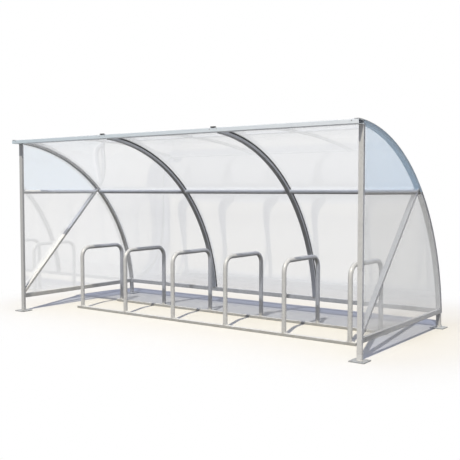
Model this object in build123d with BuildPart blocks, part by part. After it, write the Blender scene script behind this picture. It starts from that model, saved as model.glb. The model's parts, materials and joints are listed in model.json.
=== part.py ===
"""Bike shelter: a curved clear roof on a galvanised tube frame, with a toast-rack of parking hoops.

Millimetres. +X runs along the length (to the right, seen from the open front), +Y to the back,
+Z up. The origin is the middle of the footprint, on the ground.
"""
from build123d import *
from math import atan2, degrees, hypot, sqrt
import os

os.makedirs("parts", exist_ok=True)

# ---------------------------------------------------------------- driving dimensions
post_spacing = 4560          # centre to centre of the two end frames
bays = 3                     # roof bays between the arches
tube_wide = 50               # rectangular frame tube, across the shelter's length
tube_thin = 30               # the same tube, in the plane of the arch
tube_corner_r = 4            # rounded corners of the rectangular sections
plate_size = 150             # square base plates
plate_thick = 10
anchor_spacing = 100         # anchor hole pattern in a base plate
anchor_hole_r = 7
plate_corner_r = 6

roof_r = 2107                # inner face of the curved roof sheets
arch_centre_z = -13          # height of the arch centre
arch_setback = 166           # arch centre ahead of the front posts
seal_thick = 12              # rubber seal between an inner rib and the sheets

beam_overhang = 115          # front face of the beam ahead of the post centres
beam_high = 40               # front face of the beam
wall = 3                     # wall of the open ended sections

mid_rail_z = 1473            # round rail at half height
mid_rail_d = 48
bottom_rail_z = 187          # centre of the rectangular bottom rails
brace_foot_up = 34           # brace centre line above the bottom rail, at the front post
brace_head_gap = 66          # brace centre line ahead of the rib, at the height of the round rail

sheet = 4                    # clear sheets
sheet_gap = 10               # gap between neighbouring roof sheets, under a cover strip
end_sheet_gap = 3            # gap between the upper and lower end sheets
strip_thick = 3              # flat cover strips that clamp the sheets down

hoop_count = 6
hoop_from_left = 445         # first hoop, measured from the left frame
hoop_from_right = 380        # last hoop, measured from the right frame
hoop_front_y = 567           # front legs behind the front posts
hoop_legs = 702              # centre to centre of the two legs
hoop_top_z = 770             # centre of the top tube
hoop_d = 48
hoop_bend_r = 116            # centre line of the bends
rack_rail_wide = 50
rack_rail_high = 30
rack_rail_extra = 75         # rail beyond the end hoops

seat = 0.3                   # clearance where round tubes lie against a sheet

# ---------------------------------------------------------------- worked out from those
end_rib_inner_r = roof_r - tube_thin
inner_rib_outer_r = roof_r - seal_thick
sheet_outer_r = roof_r + sheet
strip_outer_r = sheet_outer_r + strip_thick


def reach(radius, z):
    """Distance behind the arch centre of a circle of this radius, at height z."""
    return sqrt(radius ** 2 - (z - arch_centre_z) ** 2)


foot_from_post = reach(roof_r - tube_thin / 2, plate_thick) - arch_setback
post_y = (beam_overhang - foot_from_post - plate_size / 2) / 2
arch_centre_y = post_y - arch_setback
foot_y = post_y + foot_from_post
post_back_y = post_y + tube_thin / 2
post_front_y = post_y - tube_thin / 2
beam_front_y = post_y - beam_overhang
beam_bottom_z = arch_centre_z + sqrt(roof_r ** 2 - (beam_front_y - arch_centre_y) ** 2) - beam_high
half = post_spacing / 2
bay = post_spacing / bays
frame_out_x = half + tube_wide / 2
sheet_out_x = frame_out_x + sheet
rail_low_z = bottom_rail_z - tube_wide / 2
rail_high_z = bottom_rail_z + tube_wide / 2
rear_rail_out_y = arch_centre_y + reach(roof_r, rail_high_z)
arch_x = [-half + bay * i for i in range(bays + 1)]
hoop_pitch = (post_spacing - hoop_from_left - hoop_from_right) / (hoop_count - 1)
hoop_x = [-half + hoop_from_left + hoop_pitch * i for i in range(hoop_count)]
rack_y = post_y + hoop_front_y + hoop_legs / 2
arch_names = ["left_end", "left_inner", "right_inner", "right_end"]
bay_names = ["left_bay", "centre_bay", "right_bay"]
sides = {"left": -1, "right": 1}


def save(piece, name):
    """Label one finished piece and write it out under its own name."""
    piece.part.label = name
    export_step(piece.part, f"parts/{name}.step")


def arc_band(outer_r, inner_r, front_y, low_z):
    """Sketch of the arch curve on the end plane: a ring cut off at the front and at the foot."""
    deep = strip_outer_r * 2
    with Locations((arch_centre_y, arch_centre_z)):
        Circle(outer_r)
        Circle(inner_r, mode=Mode.SUBTRACT)
    with Locations((front_y, low_z)):
        Rectangle(deep, deep, align=(Align.MIN, Align.MIN), mode=Mode.INTERSECT)


# ---------------------------------------------------------------- base plates
for side, sign in sides.items():
    for row, centre_y in (("front", post_y), ("rear", foot_y)):
        with BuildPart() as plate:
            with BuildSketch():
                with Locations((sign * half, centre_y)):
                    RectangleRounded(plate_size, plate_size, plate_corner_r)
                    with GridLocations(anchor_spacing, anchor_spacing, 2, 2):
                        Circle(anchor_hole_r, mode=Mode.SUBTRACT)
            extrude(amount=plate_thick)
        save(plate, f"base_plate_{row}_{side}")

# ---------------------------------------------------------------- front posts
for side, sign in sides.items():
    with BuildPart() as post:
        with BuildSketch(Plane.YZ.offset(sign * half - tube_wide / 2)):
            with Locations((arch_centre_y, arch_centre_z)):
                Circle(end_rib_inner_r)
            with Locations((post_y, plate_thick)):
                Rectangle(tube_thin, roof_r, align=(Align.CENTER, Align.MIN), mode=Mode.INTERSECT)
        extrude(amount=tube_wide)
        fillet(post.edges().filter_by(Axis.Z), tube_corner_r)
    save(post, f"front_post_{side}")

# ---------------------------------------------------------------- front beam
# A wide open-ended section bolted in front of the posts, its top following the roof curve.
with BuildPart() as beam:
    with BuildSketch(Plane.YZ.offset(-frame_out_x)) as section:
        with Locations((arch_centre_y, arch_centre_z)):
            Circle(roof_r)
        with Locations((beam_front_y, beam_bottom_z)):
            Rectangle(
                post_front_y - beam_front_y,
                roof_r,
                align=(Align.MIN, Align.MIN),
                mode=Mode.INTERSECT,
            )
        fillet(section.vertices(), tube_corner_r)
        offset(amount=-wall, mode=Mode.SUBTRACT)
    extrude(amount=2 * frame_out_x)
save(beam, "front_beam")

# ---------------------------------------------------------------- curved ribs
# The end ribs stand on base plates. The inner ones end on the rear bottom rail and lie deeper,
# with a seal between them and the sheets.
for name, x in zip(arch_names, arch_x):
    at_end = "end" in name
    outer_r = roof_r if at_end else inner_rib_outer_r
    with BuildPart() as rib:
        with BuildSketch(Plane.YZ.offset(x - tube_wide / 2)):
            arc_band(outer_r, outer_r - tube_thin, post_front_y, plate_thick if at_end else rail_high_z)
        extrude(amount=tube_wide)
        fillet(rib.edges().filter_by(GeomType.CIRCLE), tube_corner_r)
    save(rib, f"rib_{name}")
    if not at_end:
        with BuildPart() as seal:
            with BuildSketch(Plane.YZ.offset(x - tube_wide / 2)):
                arc_band(roof_r, inner_rib_outer_r, post_front_y, rail_high_z)
            extrude(amount=tube_wide)
        save(seal, f"seal_{name}")

# ---------------------------------------------------------------- bottom rails
with BuildPart() as rear_rail:
    with Locations((0, rear_rail_out_y, bottom_rail_z)):
        Box(
            post_spacing - tube_wide,
            tube_thin,
            tube_wide,
            align=(Align.CENTER, Align.MAX, Align.CENTER),
        )
    fillet(rear_rail.edges().filter_by(Axis.X), tube_corner_r)
save(rear_rail, "bottom_rail_rear")

for side, sign in sides.items():
    with BuildPart() as end_rail:
        with BuildSketch(Plane.YZ.offset(sign * (half + tube_wide / 2 - tube_thin / 2))):
            with Locations((arch_centre_y, arch_centre_z)):
                Circle(end_rib_inner_r)
            with Locations((post_back_y, bottom_rail_z)):
                Rectangle(
                    roof_r,
                    tube_wide,
                    align=(Align.MIN, Align.CENTER),
                    mode=Mode.INTERSECT,
                )
        extrude(amount=tube_thin / 2, both=True)
        fillet(end_rail.edges().filter_by(Axis.Y), tube_corner_r)
    save(end_rail, f"bottom_rail_{side}_end")

# ---------------------------------------------------------------- end braces
brace_foot_z = rail_high_z + brace_foot_up
brace_head_y = arch_centre_y + reach(end_rib_inner_r, mid_rail_z) - brace_head_gap
brace_rise = (mid_rail_z - brace_foot_z) / (brace_head_y - post_back_y)
brace_angle = degrees(atan2(brace_rise, 1))
for side, sign in sides.items():
    with BuildPart() as brace:
        with BuildSketch(Plane.YZ.offset(sign * half)):
            with Locations((arch_centre_y, arch_centre_z)):
                Circle(end_rib_inner_r)
            with Locations((post_back_y, brace_foot_z)):
                Rectangle(roof_r * 2, tube_thin, rotation=brace_angle, mode=Mode.INTERSECT)
            with Locations((post_back_y, 0)):
                Rectangle(
                    roof_r,
                    roof_r,
                    align=(Align.MIN, Align.MIN),
                    mode=Mode.INTERSECT,
                )
        extrude(amount=tube_wide / 2, both=True)
        fillet(brace.edges().sort_by(SortBy.LENGTH)[-4:], tube_corner_r)
    save(brace, f"brace_{side}")

# ---------------------------------------------------------------- round rails at half height
mid_rail_y = arch_centre_y + reach(roof_r - mid_rail_d / 2 - seat, mid_rail_z)
for name, x in zip(bay_names, arch_x):
    with BuildPart() as rear_mid:
        with BuildSketch(Plane.YZ.offset(x + tube_wide / 2)):
            with Locations((mid_rail_y, mid_rail_z)):
                Circle(mid_rail_d / 2)
        extrude(amount=bay - tube_wide)
    save(rear_mid, f"mid_rail_{name}")

# Each end rail runs from the post to the upper face of the brace.
brace_lift = tube_thin / 2 * hypot(brace_rise, 1)
brace_top_face_y = brace_head_y - brace_lift / brace_rise
for side, sign in sides.items():
    with BuildPart() as end_mid:
        with BuildSketch(Plane.XZ.offset(-post_back_y)):
            with Locations((sign * half, mid_rail_z)):
                Circle(mid_rail_d / 2)
        extrude(amount=-(brace_top_face_y + mid_rail_d - post_back_y))
        with BuildSketch(Plane.YZ.offset(sign * half)):
            with Locations((brace_top_face_y, mid_rail_z)):
                Rectangle(
                    roof_r,
                    roof_r,
                    rotation=brace_angle,
                    align=(Align.CENTER, Align.MAX),
                )
        extrude(amount=tube_wide, both=True, mode=Mode.SUBTRACT)
    save(end_mid, f"mid_rail_{side}_end")

# ---------------------------------------------------------------- curved roof sheets
sheet_edges = [-sheet_out_x] + arch_x[1:-1] + [sheet_out_x]
for i, name in enumerate(bay_names):
    left_x = sheet_edges[i] + (sheet_gap / 2 if i > 0 else 0)
    right_x = sheet_edges[i + 1] - (sheet_gap / 2 if i < bays - 1 else 0)
    with BuildPart() as roof:
        with BuildSketch(Plane.YZ.offset(left_x)):
            arc_band(sheet_outer_r, roof_r, beam_front_y, rail_low_z)
        extrude(amount=right_x - left_x)
    save(roof, f"roof_sheet_{name}")

# ---------------------------------------------------------------- flat end sheets
end_sheets = {
    "upper": (mid_rail_z + end_sheet_gap / 2, roof_r),
    "lower": (rail_low_z, mid_rail_z - end_sheet_gap / 2),
}
for side, sign in sides.items():
    for level, (low_z, high_z) in end_sheets.items():
        with BuildPart() as end_sheet:
            with BuildSketch(Plane.YZ.offset(sign * frame_out_x)):
                with Locations((arch_centre_y, arch_centre_z)):
                    Circle(roof_r)
                with Locations((post_front_y, low_z)):
                    Rectangle(
                        roof_r * 2,
                        high_z - low_z,
                        align=(Align.MIN, Align.MIN),
                        mode=Mode.INTERSECT,
                    )
            extrude(amount=sign * sheet)
        save(end_sheet, f"end_sheet_{level}_{side}")

# ---------------------------------------------------------------- cover strips
# One over each arch; the end ones lie flush with the end sheets.
edge_x = sheet_out_x - tube_wide / 2
for name, x in zip(arch_names, [-edge_x] + arch_x[1:-1] + [edge_x]):
    with BuildPart() as strip:
        with BuildSketch(Plane.YZ.offset(x - tube_wide / 2)):
            arc_band(strip_outer_r, sheet_outer_r, beam_front_y, rail_low_z)
        extrude(amount=tube_wide)
    save(strip, f"cover_strip_{name}")

# ---------------------------------------------------------------- parking rack
rack_left_x = hoop_x[0] - rack_rail_extra
rack_long = hoop_x[-1] - hoop_x[0] + 2 * rack_rail_extra
for row, y in (("front", rack_y - hoop_legs / 2), ("rear", rack_y + hoop_legs / 2)):
    with BuildPart() as rack_rail:
        with BuildSketch(Plane.YZ.offset(rack_left_x)):
            with Locations((y, rack_rail_high / 2)):
                RectangleRounded(rack_rail_wide, rack_rail_high, tube_corner_r)
            offset(amount=-wall, mode=Mode.SUBTRACT)
        extrude(amount=rack_long)
    save(rack_rail, f"rack_rail_{row}")

for number, x in enumerate(hoop_x, 1):
    with BuildPart() as hoop:
        with BuildLine(Plane.YZ.offset(x)) as path:
            FilletPolyline(
                (rack_y - hoop_legs / 2, rack_rail_high),
                (rack_y - hoop_legs / 2, hoop_top_z),
                (rack_y + hoop_legs / 2, hoop_top_z),
                (rack_y + hoop_legs / 2, rack_rail_high),
                radius=hoop_bend_r,
            )
        with BuildSketch(Plane.XY.offset(rack_rail_high)):
            with Locations((x, rack_y - hoop_legs / 2)):
                Circle(hoop_d / 2)
        sweep(path=path.line)
    save(hoop, f"rack_hoop_{number}")
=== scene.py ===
"""Bike shelter: finishes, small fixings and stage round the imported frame, in metres."""
import json
import math

import bpy
import numpy as np
from bpy.props import FloatProperty, FloatVectorProperty, IntProperty, PointerProperty
from bpy.types import Operator, Panel, PropertyGroup
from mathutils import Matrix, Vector


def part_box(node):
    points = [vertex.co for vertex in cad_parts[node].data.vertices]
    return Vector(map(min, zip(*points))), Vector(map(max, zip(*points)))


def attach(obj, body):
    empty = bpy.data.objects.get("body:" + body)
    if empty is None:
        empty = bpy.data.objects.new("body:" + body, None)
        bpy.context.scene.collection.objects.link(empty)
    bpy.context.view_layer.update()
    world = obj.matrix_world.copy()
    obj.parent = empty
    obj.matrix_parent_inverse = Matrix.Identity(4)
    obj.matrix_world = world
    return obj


bl_info = {
    "name": "Bike shelter",
    "version": (1, 0, 0),
    "blender": (4, 5, 0),
    "location": "3D View > Sidebar > Bike shelter",
    "description": "Finishes, fixings and stage for a bike shelter with clear curved sheets",
    "category": "Object",
}

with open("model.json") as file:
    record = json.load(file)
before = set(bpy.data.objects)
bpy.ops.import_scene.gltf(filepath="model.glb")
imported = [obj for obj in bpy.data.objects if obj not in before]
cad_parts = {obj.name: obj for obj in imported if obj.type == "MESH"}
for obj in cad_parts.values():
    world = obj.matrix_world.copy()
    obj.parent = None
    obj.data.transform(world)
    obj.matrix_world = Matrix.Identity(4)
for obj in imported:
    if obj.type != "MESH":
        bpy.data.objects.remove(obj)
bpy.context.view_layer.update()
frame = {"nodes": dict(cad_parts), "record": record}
record_slot = {part["node"]: part["material_slot"] for part in frame["record"]["subparts"]}


def middle(node):
    """The middle of a CAD node's box."""
    low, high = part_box(node)
    return (low + high) / 2


ribs = ("rib_left_end", "rib_left_inner", "rib_right_inner", "rib_right_end")
rib_x = [middle(name).x for name in ribs]
plates = [f"base_plate_{row}_{side}" for row in ("front", "rear") for side in ("left", "right")]
plate_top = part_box("base_plate_front_left")[1].z
post_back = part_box("front_post_right")[1].y
end_rail_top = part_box("bottom_rail_right_end")[1].z
round_rail = middle("mid_rail_right_end").z
round_rail_half = (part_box("mid_rail_right_end")[1].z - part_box("mid_rail_right_end")[0].z) / 2
hoops = [f"rack_hoop_{i}" for i in range(1, 7)]
rack_rail_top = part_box("rack_rail_front")[1].z
hoop_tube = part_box(hoops[0])[1].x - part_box(hoops[0])[0].x

# Sizes of the arch and the braces, which no box gives. The arch's centre lies ahead of the posts and just
# below the ground. A brace's middle line starts above the end rail, at the post's back, and slopes up, and
# half the brace's width is measured upright.
arch_setback = 0.166
arch_y = middle("front_post_left").y - arch_setback
arch_z = -0.013
rib_inner = 2.077
sheet_inner = 2.107
brace_start = end_rail_top + 0.034
brace_slope = 1.019
brace_half_upright = 0.0215


def leg_spots():
    """Where the hoops' legs stand on the rack's rails."""
    spots = []
    for hoop in hoops:
        low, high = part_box(hoop)
        legs_y = (low.y + hoop_tube / 2, high.y - hoop_tube / 2)
        spots += [(middle(hoop).x, y, rack_rail_top) for y in legs_y]
    return spots


# -------------------- sizes and colours

class ShelterSteel(PropertyGroup):
    """Look of the galvanised tube of the frame and the rack."""
    frame_light: FloatVectorProperty(
        name="Frame, light", description="Lightest tone of the frame's zinc",
        subtype="COLOR", min=0, max=1, default=(0.74, 0.73, 0.70))
    frame_dark: FloatVectorProperty(
        name="Frame, dark", description="Darkest tone of the frame's zinc",
        subtype="COLOR", min=0, max=1, default=(0.60, 0.595, 0.57))
    rack_light: FloatVectorProperty(
        name="Rack, light", description="Lightest tone of the rack's zinc",
        subtype="COLOR", min=0, max=1, default=(0.74, 0.74, 0.73))
    rack_dark: FloatVectorProperty(
        name="Rack, dark", description="Darkest tone of the rack's zinc",
        subtype="COLOR", min=0, max=1, default=(0.60, 0.60, 0.60))
    rail_light: FloatVectorProperty(
        name="Rack rails, light", description="Lightest tone of the two rails on the ground",
        subtype="COLOR", min=0, max=1, default=(0.54, 0.54, 0.53))
    rail_dark: FloatVectorProperty(
        name="Rack rails, dark", description="Darkest tone of the two rails on the ground",
        subtype="COLOR", min=0, max=1, default=(0.43, 0.43, 0.42))
    # Painted shade: the inner ribs and the round rails in the bays get darker tones than the frame.
    dull_light: FloatVectorProperty(
        name="Inner ribs, light", description="Lightest tone of the inner ribs and the round rails",
        subtype="COLOR", min=0, max=1, default=(0.57, 0.58, 0.60))
    dull_dark: FloatVectorProperty(
        name="Inner ribs, dark", description="Darkest tone of the inner ribs and the round rails",
        subtype="COLOR", min=0, max=1, default=(0.45, 0.46, 0.48))
    # Painted light: the left end's round rail gets a pale tone.
    pale_light: FloatVectorProperty(
        name="Left end rail, light", description="Lightest tone of the pale round rail in the left end",
        subtype="COLOR", min=0, max=1, default=(0.90, 0.90, 0.89))
    pale_dark: FloatVectorProperty(
        name="Left end rail, dark", description="Darkest tone of the pale round rail in the left end",
        subtype="COLOR", min=0, max=1, default=(0.84, 0.85, 0.86))
    plate_light: FloatVectorProperty(
        name="Base plates, light", description="Lightest tone of the base plates",
        subtype="COLOR", min=0, max=1, default=(0.46, 0.48, 0.50))
    plate_dark: FloatVectorProperty(
        name="Base plates, dark", description="Darkest tone of the base plates",
        subtype="COLOR", min=0, max=1, default=(0.36, 0.38, 0.40))
    # Painted light: the posts' tones are lighter than the frame's, as of sunlight on them.
    post_light: FloatVectorProperty(
        name="Posts, light", description="Lightest tone of the front posts",
        subtype="COLOR", min=0, max=1, default=(0.80, 0.80, 0.79))
    post_dark: FloatVectorProperty(
        name="Posts, dark", description="Darkest tone of the front posts",
        subtype="COLOR", min=0, max=1, default=(0.67, 0.67, 0.66))
    # Painted shade: the darker tone that the posts turn to at the left.
    post_left_shade: FloatVectorProperty(
        name="Posts, dulled", description="Tone of the left post, which has dulled most",
        subtype="COLOR", min=0, max=1, default=(0.58, 0.585, 0.585))
    # Painted reflection: the beam's pale bluish tones stand in for the sky mirrored in it; at its left end
    # it turns darker, painted shade.
    beam_light: FloatVectorProperty(
        name="Beam, light", description="Lightest tone of the front beam",
        subtype="COLOR", min=0, max=1, default=(0.90, 0.94, 0.97))
    beam_dark: FloatVectorProperty(
        name="Beam, dark", description="Darkest tone of the front beam",
        subtype="COLOR", min=0, max=1, default=(0.81, 0.85, 0.90))
    beam_left_shade: FloatVectorProperty(
        name="Beam, dulled", description="Tone of the front beam at its left end, where it has dulled most",
        subtype="COLOR", min=0, max=1, default=(0.60, 0.69, 0.75))
    # Length over which posts and beam go from their painted-shade tone at the left to their own tone at the
    # right.
    left_shade_length: FloatProperty(
        name="Dulled over", description="Length over which posts and beam turn to their dulled tone",
        unit="LENGTH", default=4.6)
    # Painted shade on undersides: how far they turn to the dark tone, and how dark that is.
    under: FloatProperty(
        name="Undersides", description="How far undersides turn to their darker tone", min=0, max=1,
        subtype="FACTOR", default=0.6)
    underside_shade_tone: FloatProperty(
        name="Underside tone", description="Share of the dark tone left on undersides", min=0, max=1,
        subtype="FACTOR", default=0.35)
    # Painted highlight: the pale tone that upward faces above a height are given.
    bloom: FloatVectorProperty(
        name="Bloom", description="Pale bloom that settles on upward faces",
        subtype="COLOR", min=0, max=1, default=(0.90, 0.90, 0.89))
    soil: FloatVectorProperty(
        name="Soil", description="Dust splashed on the feet",
        subtype="COLOR", min=0, max=1, default=(0.40, 0.37, 0.31))
    metal: FloatProperty(
        name="Metal", description="How metallic the zinc looks", min=0, max=1, subtype="FACTOR",
        default=0.08)
    beam_metal: FloatProperty(
        name="Beam metal", description="How metallic the front beam looks", min=0, max=1, subtype="FACTOR",
        default=0.5)
    roughness: FloatProperty(
        name="Roughness", description="Roughness of clean zinc", min=0, max=1, subtype="FACTOR",
        default=0.36)
    splash_height: FloatProperty(
        name="Splash height", description="How high the dust reaches", unit="LENGTH", default=0.16)


class ShelterSheets(PropertyGroup):
    """Look of the clear plastic sheets."""
    roof_tint: FloatVectorProperty(
        name="Roof tint", description="Colour of the curved sheets",
        subtype="COLOR", min=0, max=1, default=(0.88, 0.90, 0.93))
    upper_tint: FloatVectorProperty(
        name="Upper end tint", description="Colour of the end sheets above the round rail",
        subtype="COLOR", min=0, max=1, default=(0.46, 0.66, 0.95))
    lower_tint: FloatVectorProperty(
        name="Lower end tint", description="Colour of the end sheets below the round rail",
        subtype="COLOR", min=0, max=1, default=(0.62, 0.62, 0.60))
    upper_mirror: FloatVectorProperty(
        name="Upper mirror", description="Tint of what the upper end sheets mirror",
        subtype="COLOR", min=0, max=1, default=(0.66, 0.85, 1.0))
    roof_haze: FloatProperty(
        name="Roof haze", description="Share of light that each face of the curved sheets stops",
        min=0, max=1, subtype="FACTOR", default=0.12)
    upper_haze: FloatProperty(
        name="Upper haze", description="The same for the end sheets above the round rail",
        min=0, max=1, subtype="FACTOR", default=0.14)
    lower_haze: FloatProperty(
        name="Lower haze", description="The same for the end sheets below the round rail",
        min=0, max=1, subtype="FACTOR", default=0.16)
    bedded_clear: FloatProperty(
        name="Clear on the frame", description="Share of an end sheet's look that goes on the frame",
        min=0, max=1, subtype="FACTOR", default=0.95)
    sun_passed: FloatVectorProperty(
        name="Sun passed", description="Share of lamp light that each face of a sheet lets through",
        subtype="COLOR", min=0, max=1, default=(0.63, 0.66, 0.75))
    glow: FloatProperty(
        name="Glow", description="Share of a roof sheet's look that comes from light on its far side",
        min=0, max=1, subtype="FACTOR", default=0.12)
    glow_left: FloatProperty(
        name="Glow, left", description="The same for the lower left end sheet", min=0, max=1,
        subtype="FACTOR", default=0.01)
    glow_right: FloatProperty(
        name="Glow, right", description="The same for the lower right end sheet", min=0, max=1,
        subtype="FACTOR", default=0.13)
    upper_glow: FloatProperty(
        name="Glow, upper", description="Share of that glow in the end sheets above the round rail",
        min=0, max=1, subtype="FACTOR", default=0.5)
    polish: FloatProperty(
        name="Polish", description="Roughness of the sheets' faces", min=0, max=1, subtype="FACTOR",
        default=0.02)
    gloss: FloatProperty(
        name="Gloss", description="Index that sets how strongly the faces mirror", min=1, max=20,
        default=12.0)


class ShelterFixings(PropertyGroup):
    """Sizes of the small fixings."""
    foot_long: FloatProperty(
        name="Foot plate length", description="Length of the hoops' oval foot plates", unit="LENGTH",
        default=0.084)
    foot_wide: FloatProperty(
        name="Foot plate width", description="Width of the hoops' oval foot plates", unit="LENGTH",
        default=0.046)
    foot_thick: FloatProperty(
        name="Foot plate thickness", description="Thickness of the hoops' foot plates", unit="LENGTH",
        default=0.005)
    strip_outside: FloatProperty(
        name="Strip outside", description="From the sheets' inner face to the strips' outer face",
        unit="LENGTH", default=0.007)
    screw_head: FloatProperty(
        name="Screw head", description="Diameter of the strips' screw heads", unit="LENGTH", default=0.013)
    screw_count: IntProperty(
        name="Screws", description="Screws along each cover strip", min=2, default=11)
    rivet_head: FloatProperty(
        name="Rivet head", description="Diameter of the rivet heads", unit="LENGTH", default=0.010)
    bead_radius: FloatProperty(
        name="Weld bead", description="Radius of the weld beads", unit="LENGTH", default=0.003)
    bead_step: FloatProperty(
        name="Weld bead step", description="Distance between a bead's rings along its run", unit="LENGTH",
        default=0.0024)
    cap_wide: FloatProperty(
        name="Cap width", description="Width of the cover strips' end caps", unit="LENGTH", default=0.056)
    cap_high: FloatProperty(
        name="Cap height", description="Height of the cover strips' end caps", unit="LENGTH", default=0.012)
    cap_deep: FloatProperty(
        name="Cap depth", description="Depth of the cover strips' end caps", unit="LENGTH", default=0.022)


class ShelterStage(PropertyGroup):
    """Camera, sun, sky and floor."""
    eye: FloatVectorProperty(
        name="Eye", description="Where the camera stands", subtype="XYZ", unit="LENGTH",
        default=(5.0517, -6.6734, 1.489))
    tilt: FloatProperty(
        name="Tilt", description="How far the camera looks down", subtype="ANGLE",
        default=math.radians(3.1155))
    turn: FloatProperty(
        name="Turn", description="How far the camera is turned to the left", subtype="ANGLE",
        default=math.radians(36.0405))
    lens: FloatProperty(name="Lens", description="Focal length in millimetres", default=56.90)
    sun_way: FloatVectorProperty(
        name="Sun's way", description="Direction in which sunlight travels", subtype="DIRECTION",
        default=(-0.232, 0.682, -1.0))
    sun_strength: FloatProperty(name="Sun", description="Strength of the sun lamp", default=2.95)
    sun_disc: FloatProperty(
        name="Sun's disc", description="Angle that the sun's disc takes up", subtype="ANGLE",
        default=math.radians(0.6))
    sun_tint: FloatVectorProperty(
        name="Sun tint", description="Colour of the sun lamp", subtype="COLOR", min=0, max=1,
        default=(1.0, 0.95, 0.82))
    sky_low: FloatVectorProperty(
        name="Sky, low", description="Soft light from the horizon", subtype="COLOR", min=0, max=1,
        default=(0.18, 0.19, 0.21))
    sky_high: FloatVectorProperty(
        name="Sky, high", description="Soft light from overhead", subtype="COLOR", min=0, max=1,
        default=(0.33, 0.375, 0.565))
    floor_tint: FloatVectorProperty(
        name="Floor", description="Colour of the floor under the shelter", subtype="COLOR", min=0, max=1,
        default=(0.82, 0.785, 0.70))
    floor_pale: FloatVectorProperty(
        name="Floor, pale", description="Colour of the floor away from the shelter", subtype="COLOR",
        min=0, max=1, default=(0.94, 0.935, 0.915))
    floor_bounce: FloatProperty(
        name="Floor bounce", description="Share of the floor's colour that it throws back as soft light",
        min=0, max=1, subtype="FACTOR", default=0.20)
    floor_near: FloatProperty(
        name="Floor, near", description="Distance from the shelter at which the floor starts to turn white",
        unit="LENGTH", default=0.9)
    floor_far: FloatProperty(
        name="Floor, far", description="Distance from the shelter beyond which the floor is white",
        unit="LENGTH", default=2.5)
    floor_middle: FloatProperty(
        name="Floor, middle", description="How far back the middle of the tinted strip lies",
        unit="LENGTH", default=0.75)
    floor_depth: FloatProperty(
        name="Floor, depth", description="Half the depth of that strip", unit="LENGTH", default=0.45)
    floor_squeeze: FloatProperty(
        name="Floor, squeeze", description="How much sooner the floor turns white past the two ends",
        default=1.6)
    floor_bend: FloatProperty(
        name="Floor, bend", description="Power of the distance by which the floor turns pale", default=0.7)


# -------------------- shader maths

class Signal:
    """A value socket with arithmetic, so that a mask is written as a formula."""

    def __init__(self, finish, socket):
        self.finish = finish
        self.socket = socket

    def calc(self, operation, first, second, clamp=False):
        """One Math node."""
        made = self.finish.node(
            "ShaderNodeMath", {"operation": operation, "use_clamp": clamp}, {0: first, 1: second})
        return Signal(self.finish, made.outputs[0])

    def __add__(self, other):
        return self.calc("ADD", self, other)

    __radd__ = __add__

    def __sub__(self, other):
        return self.calc("SUBTRACT", self, other)

    def __rsub__(self, other):
        return self.calc("SUBTRACT", other, self)

    def __mul__(self, other):
        return self.calc("MULTIPLY", self, other)

    __rmul__ = __mul__

    def __truediv__(self, other):
        return self.calc("DIVIDE", self, other)

    def __rtruediv__(self, other):
        return self.calc("DIVIDE", other, self)

    def __pow__(self, other):
        return self.calc("POWER", self, other)

    def atleast(self, other):
        """The greater of the two."""
        return self.calc("MAXIMUM", self, other)

    def size(self):
        """Without its sign."""
        return self.calc("ABSOLUTE", self, 0.0)

    def held(self):
        """Kept between 0 and 1."""
        return self.calc("ADD", self, 0.0, clamp=True)

    def step(self, low, high):
        """A smooth step: 0 below low, 1 above high."""
        made = self.finish.node(
            "ShaderNodeMapRange", {"interpolation_type": "SMOOTHSTEP"},
            {"Value": self, "From Min": low, "From Max": high})
        return Signal(self.finish, made.outputs["Result"])


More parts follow.
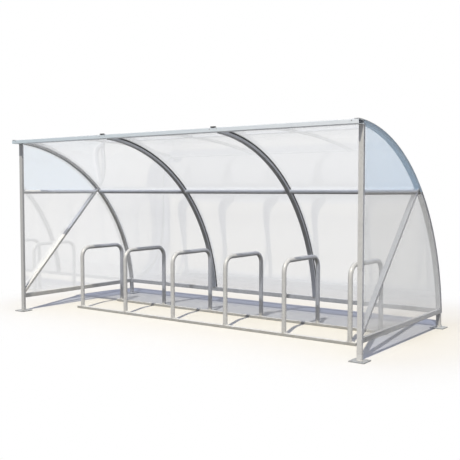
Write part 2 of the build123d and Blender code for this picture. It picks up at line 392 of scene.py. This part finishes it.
class Finish:
    """A node tree under construction: one method adds any node."""

    def __init__(self, tree):
        self.tree = tree
        tree.nodes.clear()

    def node(self, kind, settings=None, values=None):
        """Adds a node. Its settings come first, then its sockets get numbers, colours or links."""
        made = self.tree.nodes.new(kind)
        for name, value in (settings or {}).items():
            setattr(made, name, value)
        for name, value in (values or {}).items():
            source = getattr(value, "socket", value)
            if isinstance(source, bpy.types.NodeSocket):
                self.tree.links.new(source, made.inputs[name])
            else:
                made.inputs[name].default_value = source
        return made

    def signal(self, kind, output, settings=None, values=None):
        """Adds a node and gives one of its outputs as a value."""
        return Signal(self, self.node(kind, settings, values).outputs[output])

    def place(self, stretch):
        """Object coordinates, stretched for a pattern."""
        where = self.node("ShaderNodeTexCoord").outputs["Object"]
        made = self.node("ShaderNodeMapping", {}, {"Vector": where, "Scale": stretch})
        return made.outputs["Vector"]

    def axis(self, letter):
        """One object coordinate, in metres."""
        where = self.node("ShaderNodeTexCoord").outputs["Object"]
        return self.signal("ShaderNodeSeparateXYZ", letter, {}, {"Vector": where})

    def upward(self):
        """How far a face looks up: 1 on level tops, 0 on sides, -1 underneath."""
        way = self.node("ShaderNodeTexCoord").outputs["Normal"]
        return self.signal("ShaderNodeSeparateXYZ", "Z", {}, {"Vector": way})

    def noise(self, scale, detail=3.0, stretch=(1, 1, 1)):
        """Cloudy noise between 0 and 1."""
        return self.signal(
            "ShaderNodeTexNoise", 0, {},
            {"Vector": self.place(stretch), "Scale": scale, "Detail": detail, "Roughness": 0.55})

    def grains(self, scale):
        """Cells, each with its own grey."""
        cell = self.node("ShaderNodeTexVoronoi", {}, {"Vector": self.place((1, 1, 1)), "Scale": scale})
        return self.signal("ShaderNodeSeparateColor", "Red", {}, {"Color": cell.outputs["Color"]})

    def blend(self, share, first, second):
        """Mixes two colours by a value."""
        made = self.node(
            "ShaderNodeMix", {"data_type": "RGBA"},
            {"Factor": share, "A": rgba(first), "B": rgba(second)})
        return made.outputs["Result"]

    def bump(self, height, strength, depth):
        """A normal from a height."""
        made = self.node(
            "ShaderNodeBump", {}, {"Height": height, "Strength": strength, "Distance": depth})
        return made.outputs["Normal"]

    def principled(self, values):
        """A Principled shader."""
        return self.node("ShaderNodeBsdfPrincipled", {}, values).outputs[0]

    def mixed(self, share, first, second):
        """Mixes two shaders by a value."""
        return self.node("ShaderNodeMixShader", {}, {0: share, 1: first, 2: second}).outputs[0]

    def output(self, shader):
        """Ends a material in its surface output."""
        self.node("ShaderNodeOutputMaterial", {}, {"Surface": shader})


def rgba(colour):
    """A colour with its fourth number, or a socket as it is."""
    if isinstance(colour, bpy.types.NodeSocket):
        return colour
    return (*tuple(colour)[:3], 1.0)


def material(name):
    """A new material and the tree to fill."""
    made = bpy.data.materials.new(name)
    made.use_nodes = True
    return made, Finish(made.node_tree)


# -------------------- finishes

def galvanised(name, steel, part, metal=None, highlight_from=0.25, darkened=None, underside_shade=None):
    """Hot-dipped zinc in a part's light and dark tones: faint spangle, cloudy dulling, rain streaks, dust
    near the ground, painted shade that darkens undersides, and a painted highlight, a pale tone on upward
    faces above a height. A darker tone given as painted shade takes over to the left."""
    made, f = material(name)
    light, dark = getattr(steel, part + "_light"), getattr(steel, part + "_dark")
    highlight_edge = 0.01
    spangle = f.grains(scale=75.0)
    cloud = f.noise(scale=5.0, detail=4.0)
    streak = f.noise(scale=34.0, stretch=(1, 1, 0.05))
    speck = f.noise(scale=420.0, detail=2.0)
    tone = (0.45 * cloud + 0.22 * spangle + 0.33 * streak).step(0.25, 0.75)
    height = f.axis("Z")
    dusty = f.noise(scale=28.0, detail=4.0).step(0.35, 0.75)
    splash = (1 - height.step(0.0, steel.splash_height)) * dusty
    clean = f.blend(tone, dark, light)
    # Painted shade: a darker tone given by the part takes over towards the left.
    if darkened:
        rightward = (f.axis("X") / steel.left_shade_length + 0.5).held()
        clean = f.blend(rightward, darkened, clean)
    # Painted shade: faces that look down turn towards a darker share of the dark tone.
    under = 1 - f.upward().step(-0.6, -0.05)
    underside_shade = steel.under if underside_shade is None else underside_shade
    clean = f.blend(underside_shade * under, clean, tuple(steel.underside_shade_tone * c for c in dark))
    # Painted highlight: upward faces above a height turn, streaked, to the pale tone steel.bloom.
    above = height.step(highlight_from - highlight_edge, highlight_from + highlight_edge)
    lit_top_share = f.upward().step(0.45, 0.80) * above
    pale = f.blend(lit_top_share * (0.75 + 0.25 * streak), clean, steel.bloom)
    colour = f.blend(0.45 * splash, pale, steel.soil)
    rough = steel.roughness + 0.16 * (cloud - 0.5) + 0.10 * (speck - 0.5) + 0.30 * splash
    f.output(f.principled({
        "Base Color": colour,
        "Metallic": steel.metal if metal is None else metal,
        "Roughness": rough.held(),
        "Normal": f.bump(0.6 * speck + 0.4 * spangle, strength=0.10, depth=0.0006)}))
    return made


def on_frame(f, with_rib):
    """1 where an end sheet lies on the end frame's members and 0 where it spans between them: the rib is a
    ring round the arch's centre, the brace a band along a slanted line, the others upright and level bands.
    """
    edge = 0.001
    brace_edge = 0.0015
    y, z = f.axis("Y"), f.axis("Z")
    from_rail = (z - round_rail).size()
    from_brace = (z - brace_start - brace_slope * (y - post_back)).size()
    on_post = 1 - y.step(post_back - edge, post_back + edge)
    on_round_rail = 1 - from_rail.step(round_rail_half - edge, round_rail_half + edge)
    on_end_rail = 1 - z.step(end_rail_top - edge, end_rail_top + edge)
    on_brace = 1 - from_brace.step(brace_half_upright - brace_edge, brace_half_upright + brace_edge)
    lap = on_post.atleast(on_round_rail).atleast(on_end_rail).atleast(on_brace)
    out, up = y - arch_y, z - arch_z
    on_rib = (out * out + up * up).step((rib_inner - edge) ** 2, (rib_inner + edge) ** 2)
    return lap.atleast(on_rib) if with_rib else lap * (1 - on_rib)


def clear_sheet(name, sheets, part, glow_share, mirror=(1.0, 1.0, 1.0), bedded=None):
    """Clear glossy plastic in a part's tint and haze: dried rain marks and fine scratches, mirroring more
    at a slant. A bedded sheet is all but clear where it lies on the frame's rails, or on its rib too."""
    made, f = material(name)
    tint, haze = getattr(sheets, part + "_tint"), getattr(sheets, part + "_haze")
    face_on = 0.04
    marks = f.noise(scale=9.0, detail=5.0, stretch=(1, 1, 0.35))
    drips = f.noise(scale=60.0, stretch=(1, 1, 0.04)).step(0.55, 0.80)
    scratches = f.noise(scale=240.0, detail=2.0, stretch=(1, 1, 0.12))
    colour = f.blend((0.6 * marks + 0.25 * drips).held(), tuple(0.93 * c for c in tint), tint)
    facing = f.signal("ShaderNodeLayerWeight", "Facing", {}, {"Blend": 0.5})
    slant = face_on + (1 - face_on) * facing ** 5.0
    dust = 0.015 * (marks - 0.5) + 0.02 * drips
    alpha = (haze + dust + (1 - haze) * slant).held()
    if bedded:
        span = 1 - sheets.bedded_clear * on_frame(f, bedded == "rib")
        alpha = alpha * span
        glow_share = glow_share * span
    rough = sheets.polish + 0.05 * marks * marks + 0.06 * drips
    seen = f.principled({
        "Base Color": colour,
        "Roughness": rough.held(),
        "IOR": sheets.gloss,
        "Specular Tint": rgba(mirror),
        "Alpha": alpha,
        "Normal": f.bump(0.7 * scratches + 0.3 * marks, strength=0.02, depth=0.0008)})
    glow = f.node("ShaderNodeBsdfTranslucent", {}, {"Color": rgba(tint)}).outputs[0]
    passed = f.node("ShaderNodeBsdfTransparent", {}, {"Color": rgba(sheets.sun_passed)}).outputs[0]
    to_lamp = f.signal("ShaderNodeLightPath", "Is Shadow Ray")
    f.output(f.mixed(to_lamp, f.mixed(glow_share, seen, glow), passed))
    return made


def mill_strip(name):
    """Flat rolled aluminium: fine lines along the strip and a dull grey bloom."""
    made, f = material(name)
    lines = f.noise(scale=700.0, detail=2.0, stretch=(1, 0.02, 0.02))
    bloom = f.noise(scale=12.0, detail=4.0)
    tone = (0.6 * bloom + 0.4 * lines).step(0.3, 0.7)
    rough = 0.30 + 0.14 * bloom + 0.08 * lines
    f.output(f.principled({
        "Base Color": f.blend(tone, (0.50, 0.52, 0.54), (0.66, 0.67, 0.68)),
        "Metallic": 0.75,
        "Roughness": rough.held(),
        "Normal": f.bump(lines, strength=0.08, depth=0.0004)}))
    return made


def black_rubber(name):
    """Extruded black rubber, with a little grey dust."""
    made, f = material(name)
    dust = f.noise(scale=26.0, detail=4.0).step(0.45, 0.8)
    grain = f.noise(scale=500.0, detail=2.0)
    rough = 0.55 + 0.25 * dust
    f.output(f.principled({
        "Base Color": f.blend(0.5 * dust, (0.018, 0.018, 0.019), (0.085, 0.083, 0.08)),
        "Roughness": rough.held(),
        "Normal": f.bump(grain, strength=0.15, depth=0.0004)}))
    return made


def zinc_fixing(name, light, dark, rust):
    """Zinc-plated fixings: dull plating, darker in patches, with a trace of rust."""
    made, f = material(name)
    patch = f.noise(scale=160.0, detail=4.0)
    spots = f.noise(scale=330.0).step(0.62, 0.80)
    plating = f.blend(patch.step(0.3, 0.7), dark, light)
    rough = 0.32 + 0.2 * patch + 0.3 * spots
    f.output(f.principled({
        "Base Color": f.blend(rust * spots, plating, (0.30, 0.15, 0.07)),
        "Metallic": 0.7,
        "Roughness": rough.held(),
        "Normal": f.bump(patch, strength=0.12, depth=0.0004)}))
    return made


def dark_plastic(name):
    """Moulded dark grey plastic with a fine grain."""
    made, f = material(name)
    grain = f.noise(scale=380.0)
    fade = f.noise(scale=40.0)
    f.output(f.principled({
        "Base Color": f.blend(fade, (0.07, 0.072, 0.075), (0.12, 0.122, 0.125)),
        "Roughness": (0.42 + 0.2 * grain).held(),
        "Normal": f.bump(grain, strength=0.15, depth=0.0004)}))
    return made


# -------------------- shapes

def turned(profile, sides):
    """A profile of (radius, height) carried round the z axis: x = r cos a, y = r sin a, z = h."""
    radius, height = np.array(profile, float).T
    angle = np.arange(sides) * 2 * np.pi / sides
    ring = radius[:, None] * np.ones(sides)
    return np.stack((ring * np.cos(angle), ring * np.sin(angle), height[:, None] + 0 * ring), -1)


def rounded_outline(half_wide, half_high, corner, spacing):
    """A rectangle with round corners, as points evenly spaced along it, anticlockwise:
    corner centre + corner radius times (cos a, sin a) over each quarter, then divided by length."""
    corner_points = 7
    quarter = np.linspace(0, np.pi / 2, corner_points)
    angle = (np.arange(4)[:, None] * np.pi / 2 + quarter[None, :]).ravel()
    centre_x = np.repeat((1, -1, -1, 1), corner_points) * (half_wide - corner)
    centre_y = np.repeat((1, 1, -1, -1), corner_points) * (half_high - corner)
    x = centre_x + corner * np.cos(angle)
    y = centre_y + corner * np.sin(angle)
    x, y = np.append(x, x[0]), np.append(y, y[0])
    run = np.append(0, np.cumsum(np.hypot(np.diff(x), np.diff(y))))
    count = int(run[-1] / spacing)
    even = np.arange(count) * run[-1] / count
    return np.stack((np.interp(even, run, x), np.interp(even, run, y)), -1)


def round_outline(radius, spacing):
    """A circle as points evenly spaced along it: the rounded outline whose corners all but meet."""
    return rounded_outline(radius, radius, radius * 0.999, spacing)


def bead_round(outline, radius, rippling=0.12, points_per_ripple=4, around=8):
    """A round bead carried along a closed outline in the plane z = 0:
    p = outline + r cos b outward + r sin b upward, with r rippling along the run."""
    after = np.roll(outline, -1, axis=0) - np.roll(outline, 1, axis=0)
    outward = np.stack((after[:, 1], -after[:, 0]), -1) / np.linalg.norm(after, axis=1)[:, None]
    turn = np.arange(around) * 2 * np.pi / around
    count = len(outline)
    run = np.arange(count) / count
    ripple = radius * (1 + rippling * np.sin(2 * np.pi * round(count / points_per_ripple) * run))
    flat = outline[None] + ripple[None, :, None] * np.cos(turn)[:, None, None] * outward[None]
    rise = ripple[None, :] * np.sin(turn)[:, None]
    return np.concatenate((flat, rise[..., None]), -1)


def placed(rings, centres, axes, sides):
    """Copies of a shape, each with its z along its own axis: p = c + x s + y (n cross s) + z n."""
    centres = np.atleast_2d(np.array(centres, float))
    axis = np.broadcast_to(np.array(axes, float), centres.shape)
    side = np.broadcast_to(np.array(sides, float), centres.shape)
    third = np.cross(axis, side)
    basis = np.stack((side, third, axis), axis=1)
    return centres[:, None, None, :] + np.einsum("rck,nkj->nrcj", rings, basis)


def capped(copies):
    """Points and blocks of faces for copies of stacked rings, each stack closed by a pole at both ends."""
    number, rows, columns, _ = copies.shape
    poles = np.stack((copies[:, 0].mean(1), copies[:, -1].mean(1)), axis=1)
    points = np.concatenate((copies.reshape(number, -1, 3), poles), axis=1)
    i = (np.arange(rows - 1) * columns)[:, None]
    j = np.arange(columns)[None, :]
    k = (j + 1) % columns
    quads = np.stack((i + j, i + k, i + columns + k, i + columns + j), -1).reshape(-1, 4)
    j, k = j[0], k[0]
    last = (rows - 1) * columns
    low = np.stack((np.full(columns, rows * columns), k, j), -1)
    top = np.stack((np.full(columns, rows * columns + 1), last + j, last + k), -1)
    shift = (np.arange(number) * points.shape[1])[:, None, None]
    sides = (quads[None] + shift).reshape(-1, 4)
    ends = (np.concatenate((low, top))[None] + shift).reshape(-1, 3)
    return points.reshape(-1, 3), (sides, ends)


def looped(copies):
    """Points and a block of faces for copies of a surface that closes on itself both ways."""
    number, rows, columns, _ = copies.shape
    i = np.arange(rows)[:, None]
    j = np.arange(columns)[None, :]
    here, above = i * columns, (i + 1) % rows * columns
    k = (j + 1) % columns
    quads = np.stack((here + j, here + k, above + k, above + j), -1).reshape(-1, 4)
    shift = (np.arange(number) * rows * columns)[:, None, None]
    return copies.reshape(-1, 3), ((quads[None] + shift).reshape(-1, 4),)


def piece(name, parts, look, crease=35.0):
    """Joins parts into one object at the origin, which rides on the frame."""
    points, faces = [], []
    count = 0
    for part_points, blocks in parts:
        points.append(part_points)
        for block in blocks:
            faces += (block + count).tolist()
        count += len(part_points)
    mesh = bpy.data.meshes.new(name)
    mesh.from_pydata(np.concatenate(points).tolist(), [], faces)
    mesh.update()
    mesh.shade_smooth()
    mesh.set_sharp_from_angle(angle=math.radians(crease))
    mesh.materials.append(look)
    made = bpy.data.objects.new(name, mesh)
    bpy.context.scene.collection.objects.link(made)
    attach(made, "root")
    return made


def dress_nodes(nodes, look):
    """Gives some CAD nodes their finish."""
    for node in nodes:
        for held in frame["nodes"][node].material_slots:
            held.material = look


def dress(slot, look):
    """Gives every CAD node of one record slot its finish."""
    dress_nodes([node for node, its_slot in record_slot.items() if its_slot == slot], look)


# -------------------- operators

up_z, along_x, along_y = (0, 0, 1), (1, 0, 0), (0, 1, 0)
bay_rails = [f"mid_rail_{bay}_bay" for bay in ("left", "centre", "right")]

# Heights from which the painted highlight on upward faces starts: on the rails that lie on the ground, and
# above all of the shelter.
ground_highlight = 0.02
no_highlight = 3.0


class SHELTER_OT_steel(Operator):
    """Galvanised finish for the frame and the rack. Some members get their own tones: the beam a pale
    bluish tone, a painted reflection of the sky; the beam and the posts a darker tone to the left, painted
    shade;
    the posts a lighter tone, painted light; the inner ribs and the round rails in the bays a darker tone,
    painted shade; the left end's round rail a pale tone, painted light; the plates and the rack's rails
    tones of their own. The right brace and the rear bottom rail keep the frame's tones without the painted
    highlight."""
    bl_idname = "shelter.steel"
    bl_label = "Steel"

    def execute(self, context):
        steel = context.scene.shelter_steel
        dress("frame_steel", galvanised("frame_zinc", steel, "frame"))
        dress("rack_steel", galvanised("rack_zinc", steel, "rack", highlight_from=no_highlight))
        own_looks = (
            # Painted reflection: pale bluish beam, with painted shade darkening it towards the left.
            (("front_beam",),
             galvanised("beam_zinc", steel, "beam", metal=steel.beam_metal, darkened=steel.beam_left_shade)),
            # Painted light: lighter posts, with painted shade darkening them towards the left.
            (("front_post_left", "front_post_right"),
             galvanised("post_zinc", steel, "post", darkened=steel.post_left_shade)),
            (("brace_right", "bottom_rail_rear"),
             galvanised("shaded_zinc", steel, "frame", highlight_from=no_highlight)),
            # Painted shade: darker inner ribs and bay rails.
            (("rib_left_inner", "rib_right_inner", *bay_rails),
             galvanised("dull_zinc", steel, "dull")),
            # Painted light: pale left end rail, without painted shade on its underside.
            (("mid_rail_left_end",),
             galvanised("pale_zinc", steel, "pale", underside_shade=0.0)),
            (plates,
             galvanised("plate_zinc", steel, "plate", highlight_from=no_highlight)),
            (("rack_rail_front", "rack_rail_rear"),
             galvanised("rail_zinc", steel, "rail", highlight_from=ground_highlight)),
        )
        for nodes, look in own_looks:
            dress_nodes(nodes, look)
        return {"FINISHED"}


class SHELTER_OT_sheets(Operator):
    """Clear finish for the curved sheets and the end sheets."""
    bl_idname = "shelter.sheets"
    bl_label = "Clear sheets"

    def execute(self, context):
        sheets = context.scene.shelter_sheets
        dress("clear_roof_sheet", clear_sheet("clear_roof", sheets, "roof", sheets.glow))
        for side, glow in (("left", sheets.glow_left), ("right", sheets.glow_right)):
            upper = clear_sheet("clear_upper_" + side, sheets, "upper", glow * sheets.upper_glow,
                                mirror=sheets.upper_mirror, bedded="rails")
            lower = clear_sheet("clear_lower_" + side, sheets, "lower", glow, bedded="rib")
            dress_nodes(["end_sheet_upper_" + side], upper)
            dress_nodes(["end_sheet_lower_" + side], lower)
        return {"FINISHED"}


class SHELTER_OT_trims(Operator):
    """Finish for the cover strips and the rubber seals."""
    bl_idname = "shelter.trims"
    bl_label = "Strips and seals"

    def execute(self, context):
        dress("strip_aluminium", mill_strip("mill_strip"))
        dress("seal_rubber", black_rubber("black_rubber"))
        return {"FINISHED"}


class SHELTER_OT_hoop_feet(Operator):
    """Oval foot plates between the hoops' legs and the rack's rails: a profile of (radius, height) carried
    round an oval, x = a r cos t, y = b r sin t, with its edges rounded."""
    bl_idname = "shelter.hoop_feet"
    bl_label = "Hoop feet"

    def execute(self, context):
        sizes = context.scene.shelter_fixings
        steel = context.scene.shelter_steel
        t = sizes.foot_thick
        profile = [(0.97, 0.0), (1.0, 0.15 * t), (1.0, 0.75 * t), (0.97, t)]
        oval = np.array([sizes.foot_long / 2, sizes.foot_wide / 2, 1.0])
        plate = turned(profile, sides=40) * oval
        look = galvanised("foot_zinc", steel, "rack", highlight_from=ground_highlight)
        piece("hoop_feet", [capped(placed(plate, leg_spots(), up_z, along_x))], look)
        return {"FINISHED"}


class SHELTER_OT_strip_screws(Operator):
    """Domed screws with washers along the cover strips: spots at even angles a on each strip's outer face,
    y = centre + R cos a, z = centre + R sin a, and a head turned from a profile on each."""
    bl_idname = "shelter.strip_screws"
    bl_label = "Strip screws"

    def execute(self, context):
        sizes = context.scene.shelter_fixings
        above_foot = 0.06
        behind_beam = 0.05
        outside = sheet_inner + sizes.strip_outside
        low = math.asin((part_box("cover_strip_left_inner")[0].z + above_foot - arch_z) / outside)
        high = math.acos((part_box("front_beam")[1].y + behind_beam - arch_y) / outside)
        angle = np.linspace(low, high, sizes.screw_count)
        out = np.stack((0 * angle, np.cos(angle), np.sin(angle)), -1)
        along = np.array([0, arch_y, arch_z]) + outside * out
        spots = np.concatenate([along + np.array([x, 0, 0]) for x in rib_x])
        r = sizes.screw_head / 2
        head = turned([(r * 1.35, 0.0), (r * 1.35, 0.0012), (r * 1.02, 0.0016), (r, 0.0026),
                       (r * 0.82, 0.0044), (r * 0.45, 0.0054)], sides=14)
        look = zinc_fixing("screw_zinc", (0.62, 0.62, 0.61), (0.42, 0.42, 0.41), rust=0.15)
        ways = np.tile(out, (len(rib_x), 1))
        piece("strip_screws", [capped(placed(head, spots, ways, along_x))], look)
        return {"FINISHED"}


class SHELTER_OT_rivets(Operator):
    """Rivet heads on the front beam by the ribs, and on the bottom rails near their ends: one head, turned
    from a profile, placed on each spot."""
    bl_idname = "shelter.rivets"
    bl_label = "Rivets"

    def execute(self, context):
        r = context.scene.shelter_fixings.rivet_head / 2
        head = turned([(r, 0.0), (r, 0.0006), (r * 0.84, 0.0016), (r * 0.50, 0.0024)], sides=12)
        below_top, beside_rib, beam_end_gap = 0.012, 0.042, 0.01
        rear_end_gap, end_rail_gap = 0.034, 0.045
        low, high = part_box("front_beam")
        beam = [(x + dx, low.y, high.z - below_top) for x in rib_x for dx in (-beside_rib, beside_rib)]
        beam = [spot for spot in beam if low.x + beam_end_gap < spot[0] < high.x - beam_end_gap]
        low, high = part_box("bottom_rail_rear")
        level = (low.z + high.z) / 2
        rear_x = (low.x + rear_end_gap, high.x - rear_end_gap)
        parts = [
            capped(placed(head, beam, (0, -1, 0), along_x)),
            capped(placed(head, [(x, low.y, level) for x in rear_x], (0, -1, 0), along_x)),
            capped(placed(head, [(x, high.y, level) for x in rear_x], (0, 1, 0), along_x)),
        ]
        for side, way, face in (("left", -1, 0), ("right", 1, 1)):
            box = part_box(f"bottom_rail_{side}_end")
            spots = [(box[face].x, y, level) for y in (box[0].y + end_rail_gap, box[1].y - end_rail_gap)]
            parts.append(capped(placed(head, spots, (way, 0, 0), along_y)))
        look = zinc_fixing("rivet_zinc", (0.34, 0.34, 0.34), (0.22, 0.22, 0.22), rust=0.1)
        piece("rivets", parts, look)
        return {"FINISHED"}


class SHELTER_OT_welds(Operator):
    """Galvanised weld beads where tubes meet plates, posts and rails: a round bead carried along the
    outline of each tube's end."""
    bl_idname = "shelter.welds"
    bl_label = "Weld beads"

    def execute(self, context):
        sizes = context.scene.shelter_fixings
        steel = context.scene.shelter_steel
        post_corner = 0.005
        rack_share = 0.85
        bead, step = sizes.bead_radius, sizes.bead_step
        low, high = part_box("front_post_left")
        post_outline = rounded_outline((high.x - low.x) / 2, (high.y - low.y) / 2, post_corner, step)
        feet = [(*middle(plate).xy, plate_top) for plate in plates]
        low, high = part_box(bay_rails[0])
        collar = bead_round(round_outline((high.z - low.z) / 2, step), bead)
        rail_ends = []
        for rail in bay_rails:
            at = middle(rail)
            rail_ends += [(corner.x, at.y, at.z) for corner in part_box(rail)]
        rail_fronts = []
        for rail in ("mid_rail_left_end", "mid_rail_right_end"):
            at = middle(rail)
            rail_fronts.append((at.x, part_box(rail)[0].y, at.z))
        parts = [
            looped(placed(bead_round(post_outline, bead), feet, up_z, along_x)),
            looped(placed(collar, rail_ends, along_x, along_y)),
            looped(placed(collar, rail_fronts, along_y, along_x)),
        ]
        look = galvanised("frame_weld_zinc", steel, "frame")
        piece("frame_welds", parts, look, crease=80.0)
        ring = bead_round(round_outline(hoop_tube / 2, step), bead * rack_share)
        legs = np.array(leg_spots()) + np.array([0, 0, sizes.foot_thick])
        look = galvanised("rack_weld_zinc", steel, "rack")
        piece("rack_welds", [looped(placed(ring, legs, up_z, along_x))], look, crease=80.0)
        return {"FINISHED"}


class SHELTER_OT_strip_caps(Operator):
    """Dark end caps where the inner cover strips end on the beam: a rounded outline carried forward, its
    first and last rings drawn in by the rounding of the edges."""
    bl_idname = "shelter.strip_caps"
    bl_label = "Strip end caps"

    def execute(self, context):
        sizes = context.scene.shelter_fixings
        half = np.array([sizes.cap_wide, sizes.cap_high]) / 2
        deep = sizes.cap_deep
        rounding = 0.0012
        behind_end, above_strip = 0.016, 0.001
        outline = rounded_outline(*half, corner=0.002, spacing=0.003)
        depth = np.array([0.0, rounding, deep - rounding, deep])
        inset = np.array([rounding, 0.0, 0.0, rounding])
        grow = 1 - inset[:, None, None] / half
        run = np.broadcast_to(depth[:, None, None], (len(depth), len(outline), 1))
        cap = np.concatenate((outline[None] * grow, run), -1)
        low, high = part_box("cover_strip_left_inner")
        spots = [(x, low.y + behind_end, high.z + above_strip) for x in rib_x[1:3]]
        look = dark_plastic("cap_plastic")
        piece("strip_caps", [capped(placed(cap, spots, (0, -1, 0), along_x))], look)
        return {"FINISHED"}


class SHELTER_OT_stage(Operator):
    """Camera, sun, soft sky and a pale floor that turns white with distance."""
    bl_idname = "shelter.stage"
    bl_label = "Stage"

    def execute(self, context):
        stage = context.scene.shelter_stage
        scene = context.scene
        scene.view_settings.view_transform = "Standard"
        self.camera(scene, stage)
        self.sun(scene, stage)
        self.sky(scene, stage)
        self.floor(scene, stage)
        return {"FINISHED"}

    def camera(self, scene, stage):
        """A camera at eye height, turned to the left and tilted a little down."""
        lens = bpy.data.cameras.new("camera")
        lens.lens = stage.lens
        lens.sensor_width = 36.0
        lens.clip_end = 400.0
        made = bpy.data.objects.new("camera", lens)
        made.location = stage.eye
        made.rotation_euler = (math.pi / 2 - stage.tilt, 0.0, stage.turn)
        scene.collection.objects.link(made)
        scene.camera = made

    def sun(self, scene, stage):
        """A sun lamp that shines along its own way."""
        lamp = bpy.data.lights.new("sun", "SUN")
        lamp.energy = stage.sun_strength
        lamp.color = stage.sun_tint
        lamp.angle = stage.sun_disc
        made = bpy.data.objects.new("sun", lamp)
        made.rotation_euler = Vector(stage.sun_way).to_track_quat("-Z", "Y").to_euler()
        scene.collection.objects.link(made)

    def seen(self, f):
        """1 for rays from the camera and for mirrored or passed rays, 0 for soft light."""
        path = f.node("ShaderNodeLightPath")
        seen = Signal(f, path.outputs["Is Camera Ray"])
        return seen.atleast(Signal(f, path.outputs["Is Glossy Ray"])).atleast(
            Signal(f, path.outputs["Is Transmission Ray"]))

    def sky(self, scene, stage):
        """Soft light that turns from the low to the high tone with height, and looks white itself."""
        world = bpy.data.worlds.new("soft_sky")
        world.use_nodes = True
        f = Finish(world.node_tree)
        way = f.node("ShaderNodeTexCoord").outputs["Generated"]
        height = f.signal("ShaderNodeSeparateXYZ", "Z", {}, {"Vector": way}).held()
        soft = f.blend(height, stage.sky_low, stage.sky_high)
        colour = f.blend(self.seen(f), soft, (1.0, 1.0, 1.0))
        light = f.node("ShaderNodeBackground", {}, {"Color": colour, "Strength": 1.0})
        f.node("ShaderNodeOutputWorld", {}, {"Surface": light.outputs[0]})
        scene.world = world

    def floor(self, scene, stage):
        """Rings of points x = r cos a, y = r sin a, closed in the middle, lying at z = 0."""
        radius = np.array([0.5, 1.0, 2.0, 4.0, 8.0, 16.0, 60.0])
        sides = 64
        angle = np.arange(sides) * 2 * np.pi / sides
        x = radius[:, None] * np.cos(angle)
        y = radius[:, None] * np.sin(angle)
        points = np.concatenate((np.stack((x, y, 0 * x), -1).reshape(-1, 3), [[0.0, 0.0, 0.0]]))
        i = (np.arange(len(radius) - 1) * sides)[:, None]
        j = np.arange(sides)[None, :]
        k = (j + 1) % sides
        faces = np.stack((i + j, i + sides + j, i + sides + k, i + k), -1).reshape(-1, 4).tolist()
        faces += np.stack((np.full(sides, len(points) - 1), j[0], k[0]), -1).tolist()
        mesh = bpy.data.meshes.new("floor")
        mesh.from_pydata(points.tolist(), [], faces)
        mesh.update()
        mesh.materials.append(self.floor_look(stage))
        made = bpy.data.objects.new("floor", mesh)
        scene.collection.objects.link(made)

    def floor_look(self, stage):
        """Pale ground that turns paler, then white, with the distance from a strip under the shelter:
        d = sqrt((squeeze times the distance past the ends) squared + (distance from the strip) squared).
        It throws only part of its colour back as soft light."""
        look, f = material("pale_floor")
        low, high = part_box("roof_sheet_left_bay")[0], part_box("roof_sheet_right_bay")[1]
        across = (f.axis("X") - (low.x + high.x) / 2).size() - (high.x - low.x) / 2
        along = (f.axis("Y") - stage.floor_middle).size() - stage.floor_depth
        past_ends = stage.floor_squeeze * across.atleast(0.0)
        away = (past_ends ** 2.0 + along.atleast(0.0) ** 2.0) ** 0.5
        fade = away.step(stage.floor_near, stage.floor_far)
        paler = (away / stage.floor_far).held() ** stage.floor_bend
        cloud = f.noise(scale=1.3)
        grit = f.noise(scale=90.0)
        mottled = (0.7 * cloud + 0.3 * grit).step(0.3, 0.7)
        near = f.blend(mottled, stage.floor_tint, tuple(min(1.0, 1.02 * c) for c in stage.floor_tint))
        seen_tint = f.blend(paler, near, stage.floor_pale)
        soft = f.signal("ShaderNodeLightPath", "Is Diffuse Ray")
        tint = f.blend(soft, seen_tint, tuple(stage.floor_bounce * c for c in stage.floor_tint))
        ground = f.node("ShaderNodeBsdfDiffuse", {}, {
            "Color": tint, "Normal": f.bump(grit, strength=0.05, depth=0.002)}).outputs[0]
        white = f.node("ShaderNodeEmission", {}, {
            "Color": (1.0, 1.0, 1.0, 1.0), "Strength": 1.0}).outputs[0]
        f.output(f.mixed(fade * self.seen(f), ground, white))
        return look


class SHELTER_PT_panel(Panel):
    """Sidebar panel with the shelter's settings and steps."""
    bl_idname = "SHELTER_PT_panel"
    bl_label = "Bike shelter"
    bl_space_type = "VIEW_3D"
    bl_region_type = "UI"
    bl_category = "Bike shelter"

    def draw(self, context):
        for group in ("shelter_steel", "shelter_sheets", "shelter_fixings", "shelter_stage"):
            box = self.layout.box()
            settings = getattr(context.scene, group)
            for name in settings.bl_rna.properties.keys():
                if name not in ("rna_type", "name"):
                    box.prop(settings, name)
        for step in steps:
            self.layout.operator(step.bl_idname)


settings_groups = {
    "shelter_steel": ShelterSteel,
    "shelter_sheets": ShelterSheets,
    "shelter_fixings": ShelterFixings,
    "shelter_stage": ShelterStage,
}
steps = (
    SHELTER_OT_steel,
    SHELTER_OT_sheets,
    SHELTER_OT_trims,
    SHELTER_OT_hoop_feet,
    SHELTER_OT_strip_screws,
    SHELTER_OT_rivets,
    SHELTER_OT_welds,
    SHELTER_OT_strip_caps,
    SHELTER_OT_stage,
)


def register():
    for group, kind in settings_groups.items():
        bpy.utils.register_class(kind)
        setattr(bpy.types.Scene, group, PointerProperty(type=kind))
    for step in steps:
        bpy.utils.register_class(step)
    bpy.utils.register_class(SHELTER_PT_panel)


def unregister():
    bpy.utils.unregister_class(SHELTER_PT_panel)
    for step in reversed(steps):
        bpy.utils.unregister_class(step)
    for group, kind in reversed(settings_groups.items()):
        delattr(bpy.types.Scene, group)
        bpy.utils.unregister_class(kind)


def main():
    register()
    bpy.ops.shelter.steel()
    bpy.ops.shelter.sheets()
    bpy.ops.shelter.trims()
    bpy.ops.shelter.hoop_feet()
    bpy.ops.shelter.strip_screws()
    bpy.ops.shelter.rivets()
    bpy.ops.shelter.welds()
    bpy.ops.shelter.strip_caps()
    bpy.ops.shelter.stage()


if __name__ == "__main__":
    main()
